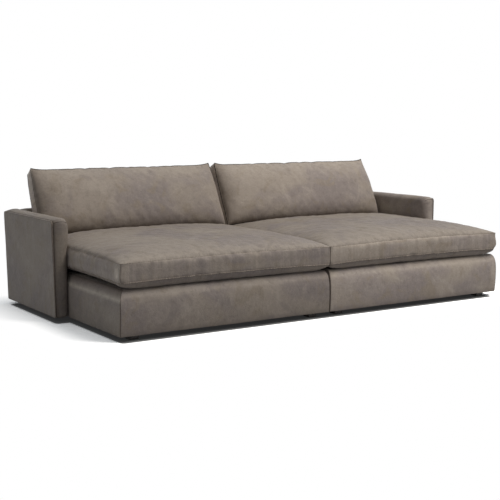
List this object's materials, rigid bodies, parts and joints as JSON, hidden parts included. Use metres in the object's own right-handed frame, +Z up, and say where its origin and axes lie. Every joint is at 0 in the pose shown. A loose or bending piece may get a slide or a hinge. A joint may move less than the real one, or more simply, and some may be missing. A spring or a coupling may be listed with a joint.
{
  "type": "double chaise sofa",
  "caption": "Low leather double chaise sofa: mirrored chaise halves hooked side by side, each with a slab arm, loose boxed seat and leaning back cushion.",
  "frame": {"origin": "on the floor under the middle of the sofa's overall box", "axes": "+X to the sitter's left, along the width; -Y out of the seat's front; +Z up"},
  "size_m": [3.2, 1.63, 0.945],
  "materials": {
    "leather": "matte",
    "cushion_leather": "matte",
    "frame_timber": "matte",
    "stained_wood": "satin",
    "elastic_webbing": "matte",
    "deck_felt": "matte",
    "dust_cloth": "matte",
    "seat_foam": "matte",
    "back_fibre": "matte",
    "zip_tape": "matte",
    "zinc_steel": "satin"
  },
  "bodies": {
    "left_chaise": {"left_front_rail": "frame_timber", "left_rear_rail": "frame_timber", "left_outer_rail": "frame_timber", "left_inner_rail": "frame_timber", "left_centre_rail": "frame_timber", "left_seat_webbing": "elastic_webbing", "left_deck_pad": "deck_felt", "left_base_cover": "leather", "left_dust_cover": "dust_cloth", "left_arm_wrap": "leather", "left_arm_outer_panel": "leather", "left_arm_frame": "frame_timber", "left_back_wrap": "leather", "left_back_outer_panel": "leather", "left_back_frame": "frame_timber", "left_front_outer_foot": "stained_wood", "left_front_inner_foot": "stained_wood", "left_rear_outer_foot": "stained_wood", "left_rear_inner_foot": "stained_wood", "left_connector_plate": "zinc_steel"},
    "left_seat_cushion": {"left_seat_cushion_cover": "cushion_leather", "left_seat_cushion_zip": "zip_tape", "left_seat_foam_core": "seat_foam"},
    "left_back_cushion": {"left_back_cushion_cover": "cushion_leather", "left_back_cushion_zip": "zip_tape", "left_back_fibre_core": "back_fibre"},
    "right_chaise": {"right_front_rail": "frame_timber", "right_rear_rail": "frame_timber", "right_outer_rail": "frame_timber", "right_inner_rail": "frame_timber", "right_centre_rail": "frame_timber", "right_seat_webbing": "elastic_webbing", "right_deck_pad": "deck_felt", "right_base_cover": "leather", "right_dust_cover": "dust_cloth", "right_arm_wrap": "leather", "right_arm_outer_panel": "leather", "right_arm_frame": "frame_timber", "right_back_wrap": "leather", "right_back_outer_panel": "leather", "right_back_frame": "frame_timber", "right_front_outer_foot": "stained_wood", "right_front_inner_foot": "stained_wood", "right_rear_outer_foot": "stained_wood", "right_rear_inner_foot": "stained_wood", "right_connector_tongue": "zinc_steel"},
    "right_seat_cushion": {"right_seat_cushion_cover": "cushion_leather", "right_seat_cushion_zip": "zip_tape", "right_seat_foam_core": "seat_foam"},
    "right_back_cushion": {"right_back_cushion_cover": "cushion_leather", "right_back_cushion_zip": "zip_tape", "right_back_fibre_core": "back_fibre"}
  },
  "joints": [
    {"name": "right_chaise_lift", "type": "slide", "parent": "left_chaise", "child": "right_chaise", "axis": [0, 0, 1], "range_m": [0, 0.08]},
    {"name": "left_seat_cushion_lift", "type": "slide", "parent": "left_chaise", "child": "left_seat_cushion", "axis": [0, 0, 1], "range_m": [0, 0.4]},
    {"name": "right_seat_cushion_lift", "type": "slide", "parent": "right_chaise", "child": "right_seat_cushion", "axis": [0, 0, 1], "range_m": [0, 0.4]},
    {"name": "left_back_cushion_lift", "type": "slide", "parent": "left_seat_cushion", "child": "left_back_cushion", "axis": [0, 0, 1], "range_m": [0, 0.25]},
    {"name": "right_back_cushion_lift", "type": "slide", "parent": "right_seat_cushion", "child": "right_back_cushion", "axis": [0, 0, 1], "range_m": [0, 0.25]}
  ]
}
